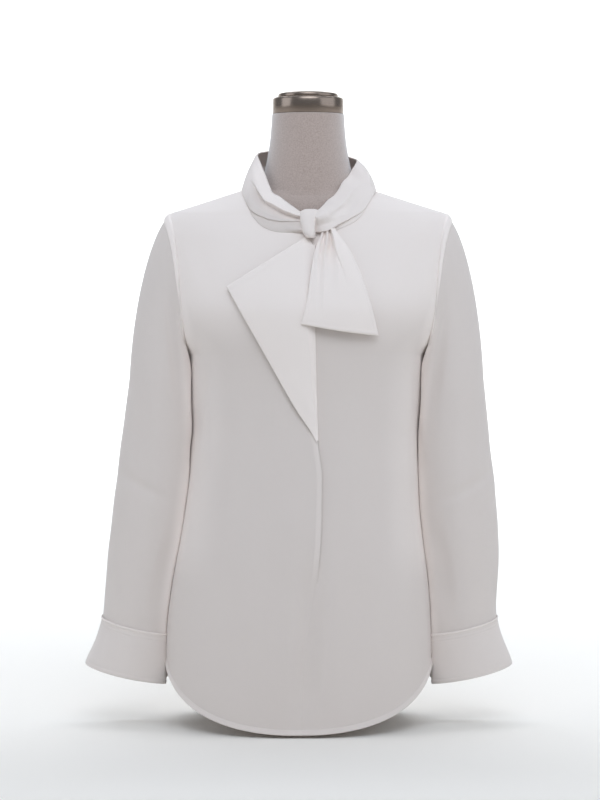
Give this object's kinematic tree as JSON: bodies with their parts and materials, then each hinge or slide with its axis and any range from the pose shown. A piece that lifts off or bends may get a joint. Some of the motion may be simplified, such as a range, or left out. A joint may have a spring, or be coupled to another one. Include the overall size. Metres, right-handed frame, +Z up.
{
  "type": "tie neck blouse on dress form",
  "caption": "Long-sleeved blouse with a wrapped tie neck, a turned-back front and a curved hem, on a limbless dress form.",
  "frame": {"origin": "middle of the stand foot's underside, on the floor", "axes": "+Z up, -Y towards the front of the blouse, +X towards the wearer's left"},
  "size_m": [0.5484, 0.2532, 0.8217],
  "materials": {
    "ivory_crepe": "matt woven crepe",
    "form_linen": "linen cover",
    "nickel_cap": "brushed nickel",
    "stand_metal": "satin"
  },
  "bodies": {
    "root": {"front_right": "ivory_crepe", "front_left": "ivory_crepe", "back": "ivory_crepe", "sleeve_right": "ivory_crepe", "sleeve_left": "ivory_crepe", "cuff_right": "ivory_crepe", "cuff_left": "ivory_crepe", "neck_band": "ivory_crepe", "tie_knot": "ivory_crepe", "tie_end": "ivory_crepe", "front_flap": "ivory_crepe", "form_torso": "form_linen", "form_neck_cap": "nickel_cap", "form_cap_disc": "nickel_cap", "stand_pole": "stand_metal", "stand_foot": "stand_metal"}
  },
  "joints": []
}
